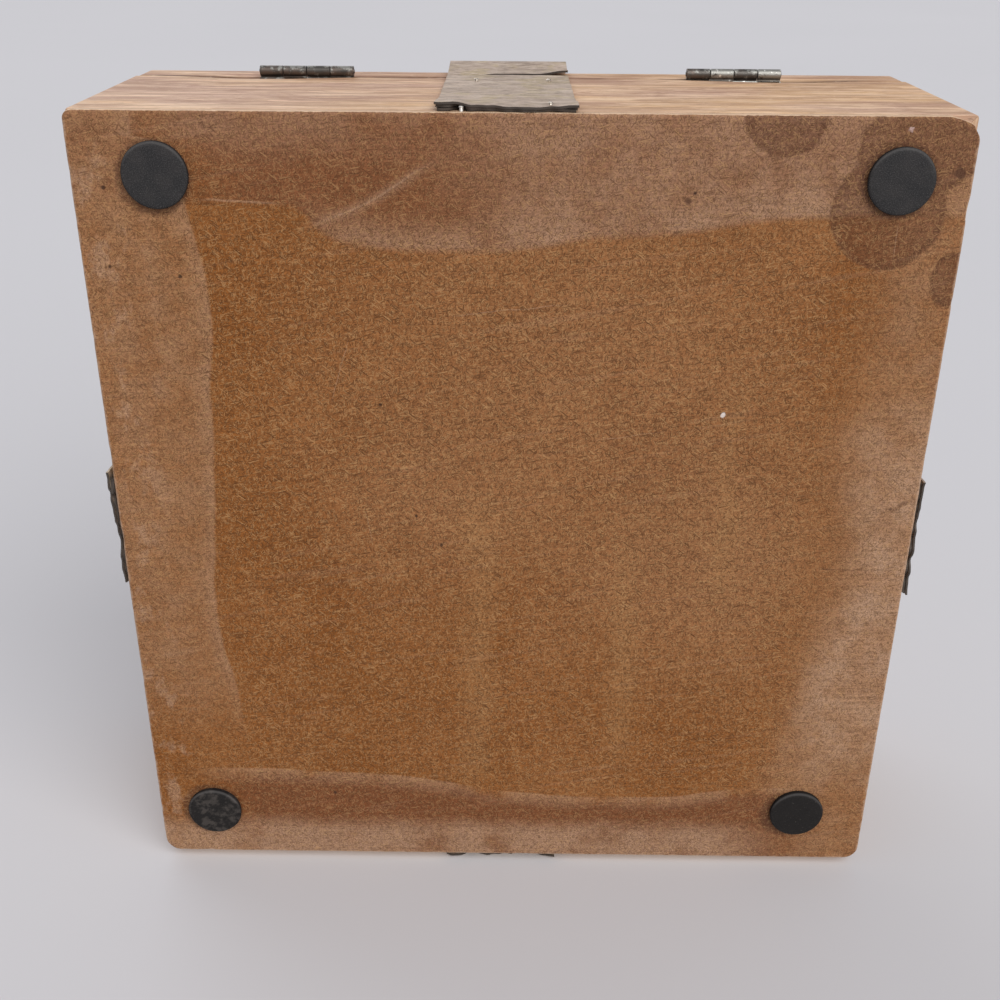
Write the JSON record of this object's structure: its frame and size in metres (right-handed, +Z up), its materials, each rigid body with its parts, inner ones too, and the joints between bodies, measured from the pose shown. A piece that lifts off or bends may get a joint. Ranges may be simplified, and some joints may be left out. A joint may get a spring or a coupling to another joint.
{
  "type": "wooden puzzle box",
  "caption": "Shallow, nearly square wooden box with a hinged lid, a hardboard base on round stick-on pads, and wide tarnished metal straps tacked over its sides and lid.",
  "frame": {"origin": "on the surface the pads stand on, below the middle of the box", "axes": "+Z up through the lid, +Y to the rear where the hinges are, +X to the right seen from the front"},
  "size_m": [0.2608, 0.2702, 0.0987],
  "materials": {
    "box_wood": "bare sanded softwood with long pinkish-tan grain, dry and matt",
    "hardboard": "bare orange-brown fibreboard, matt, worn paler round the edges, water stained",
    "lid_board": "bare thin board, matt",
    "pad": "charcoal, matt",
    "strap_metal": "tarnished grey-taupe sheet with greenish-yellow tints, dull satin",
    "hinge_bronze": "dark antique bronze, rubbed lighter on the knuckles",
    "tack": "dull bright steel"
  },
  "bodies": {
    "body": {"base_panel": "hardboard", "front_body_brad_lower_left": "tack", "front_body_brad_lower_right": "tack", "front_body_brad_upper_left": "tack", "front_body_brad_upper_right": "tack", "front_body_strap": "strap_metal", "front_left_pad": "pad", "front_right_pad": "pad", "front_wall": "box_wood", "left_body_brad_lower_left": "tack", "left_body_brad_lower_right": "tack", "left_body_brad_upper_left": "tack", "left_body_brad_upper_right": "tack", "left_body_strap": "strap_metal", "left_hinge_body_leaf": "hinge_bronze", "left_hinge_body_screw_inner": "hinge_bronze", "left_hinge_body_screw_outer": "hinge_bronze", "left_hinge_pin": "hinge_bronze", "left_wall": "box_wood", "rear_body_brad_lower_left": "tack", "rear_body_brad_lower_right": "tack", "rear_body_brad_upper_left": "tack", "rear_body_brad_upper_right": "tack", "rear_body_strap": "strap_metal", "rear_left_pad": "pad", "rear_right_pad": "pad", "rear_wall": "box_wood", "right_body_brad_lower_left": "tack", "right_body_brad_lower_right": "tack", "right_body_brad_upper_left": "tack", "right_body_brad_upper_right": "tack", "right_body_strap": "strap_metal", "right_hinge_body_leaf": "hinge_bronze", "right_hinge_body_screw_inner": "hinge_bronze", "right_hinge_body_screw_outer": "hinge_bronze", "right_hinge_pin": "hinge_bronze", "right_wall": "box_wood"},
    "lid": {"front_lid_brad_left": "tack", "front_lid_brad_right": "tack", "left_hinge_lid_leaf": "hinge_bronze", "left_hinge_lid_screw_inner": "hinge_bronze", "left_hinge_lid_screw_outer": "hinge_bronze", "left_lid_brad_left": "tack", "left_lid_brad_right": "tack", "lid_front_rail": "box_wood", "lid_left_rail": "box_wood", "lid_panel": "lid_board", "lid_rear_rail": "box_wood", "lid_right_rail": "box_wood", "lid_strap_across": "strap_metal", "lid_strap_lengthwise": "strap_metal", "rear_lid_brad_left": "tack", "rear_lid_brad_right": "tack", "right_hinge_lid_leaf": "hinge_bronze", "right_hinge_lid_screw_inner": "hinge_bronze", "right_hinge_lid_screw_outer": "hinge_bronze", "right_lid_brad_left": "tack", "right_lid_brad_right": "tack"}
  },
  "joints": [
    {"name": "lid_hinge", "type": "hinge", "parent": "body", "child": "lid", "pos_m": [0, 0.1334, 0.07675], "axis": [-1, 0, 0], "range_deg": [0, 170]}
  ]
}
